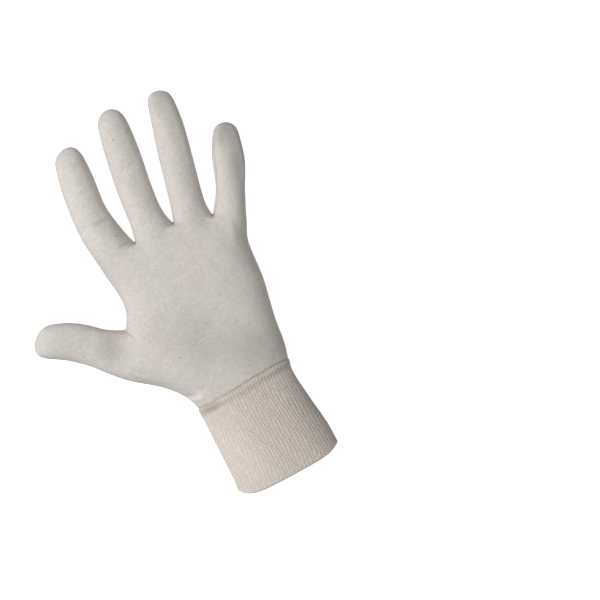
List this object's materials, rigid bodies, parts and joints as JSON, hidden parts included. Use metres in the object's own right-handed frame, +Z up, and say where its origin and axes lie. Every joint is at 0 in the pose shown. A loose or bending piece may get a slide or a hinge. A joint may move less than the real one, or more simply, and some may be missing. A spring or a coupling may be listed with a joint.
{
  "type": "work glove",
  "caption": "Knitted cotton work glove lying palm down: two sewn fabric panels shaped for palm, fingers and thumb, with a folded rib-knit wrist cuff that is open at the mouth.",
  "frame": {"origin": "middle of the underside of the bounding box, on the surface that the glove lies on", "axes": "+Z up out of the back of the hand, +Y from the cuff towards the finger tips, thumb towards -X"},
  "size_m": [0.1822, 0.2666, 0.028],
  "materials": {
    "back_panel": "matt interlock cotton, off-white with seed flecks",
    "palm_panel": "matt interlock cotton, off-white with seed flecks",
    "rib_cuff": "matt one by one rib knit, warm off-white",
    "wrist_allowance": "overlocked cotton edge"
  },
  "bodies": {
    "root": {"back_panel": "back_panel", "palm_panel": "palm_panel", "rib_cuff": "rib_cuff", "wrist_allowance": "wrist_allowance"}
  },
  "joints": []
}
